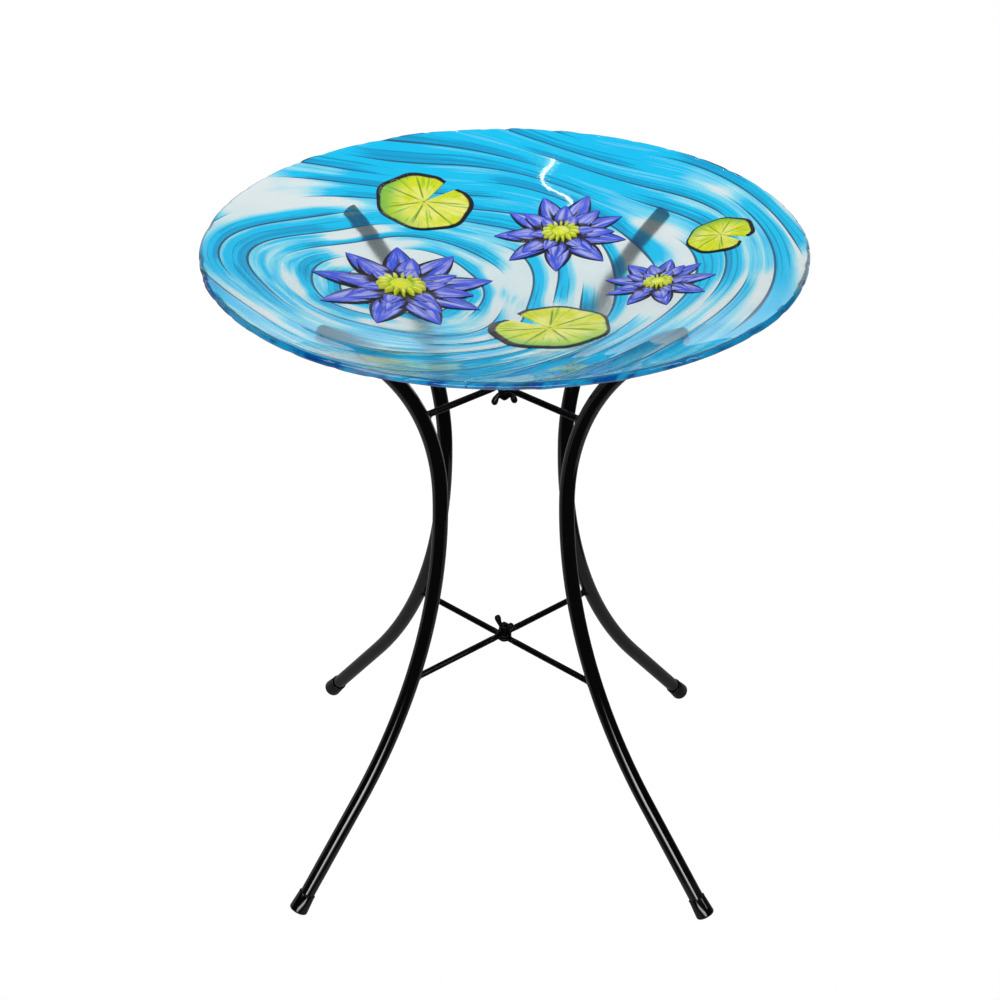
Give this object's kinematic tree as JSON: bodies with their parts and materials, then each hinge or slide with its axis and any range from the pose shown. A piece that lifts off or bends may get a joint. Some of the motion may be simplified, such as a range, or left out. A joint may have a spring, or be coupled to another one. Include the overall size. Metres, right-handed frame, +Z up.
{
  "type": "bird bath",
  "caption": "Bird bath with a shallow round painted glass bowl lying on a folding stand of curved black tube legs, crossed rods and wing nuts.",
  "frame": {"origin": "on the floor, on the upright line through the two bolts", "axes": "+Z up along the bolts, +X to the right and +Y to the back as seen in the picture"},
  "size_m": [0.4572, 0.4572, 0.568],
  "materials": {
    "painted_glass": "glossy, embossed and painted",
    "leg_paint": "gloss black powder coat",
    "rod_paint": "gloss black powder coat",
    "fastener_black": "satin black",
    "cap_plastic": "moulded satin",
    "plug_plastic": "moulded satin"
  },
  "bodies": {
    "frame_a": {"leg_back_right": "leg_paint", "foot_cap_back_right": "cap_plastic", "top_plug_back_right": "plug_plastic", "leg_front_left": "leg_paint", "foot_cap_front_left": "cap_plastic", "top_plug_front_left": "plug_plastic", "upper_rod_a": "rod_paint", "lower_rod_a": "rod_paint", "upper_bolt": "fastener_black", "lower_bolt": "fastener_black", "upper_washer": "fastener_black", "lower_washer": "fastener_black"},
    "frame_b": {"leg_front_right": "leg_paint", "foot_cap_front_right": "cap_plastic", "top_plug_front_right": "plug_plastic", "leg_back_left": "leg_paint", "foot_cap_back_left": "cap_plastic", "top_plug_back_left": "plug_plastic", "upper_rod_b": "rod_paint", "lower_rod_b": "rod_paint"},
    "bowl": {"glass_bowl": "painted_glass"},
    "upper_nut": {"upper_wing_nut": "fastener_black"},
    "lower_nut": {"lower_wing_nut": "fastener_black"}
  },
  "joints": [
    {"name": "fold", "type": "hinge", "parent": "frame_a", "child": "frame_b", "pos_m": [0, 0, 0], "axis": [0, 0, 1], "range_deg": [-75, 57]},
    {"name": "bowl_lift", "type": "slide", "parent": "frame_a", "child": "bowl", "axis": [0, 0, 1], "range_m": [0, 0.15]},
    {"name": "upper_nut_turn", "type": "hinge", "parent": "frame_a", "child": "upper_nut", "pos_m": [0, 0, 0.431], "axis": [0, 0, 1], "continuous": true},
    {"name": "lower_nut_turn", "type": "hinge", "parent": "frame_a", "child": "lower_nut", "pos_m": [0, 0, 0.2], "axis": [0, 0, 1], "continuous": true}
  ]
}
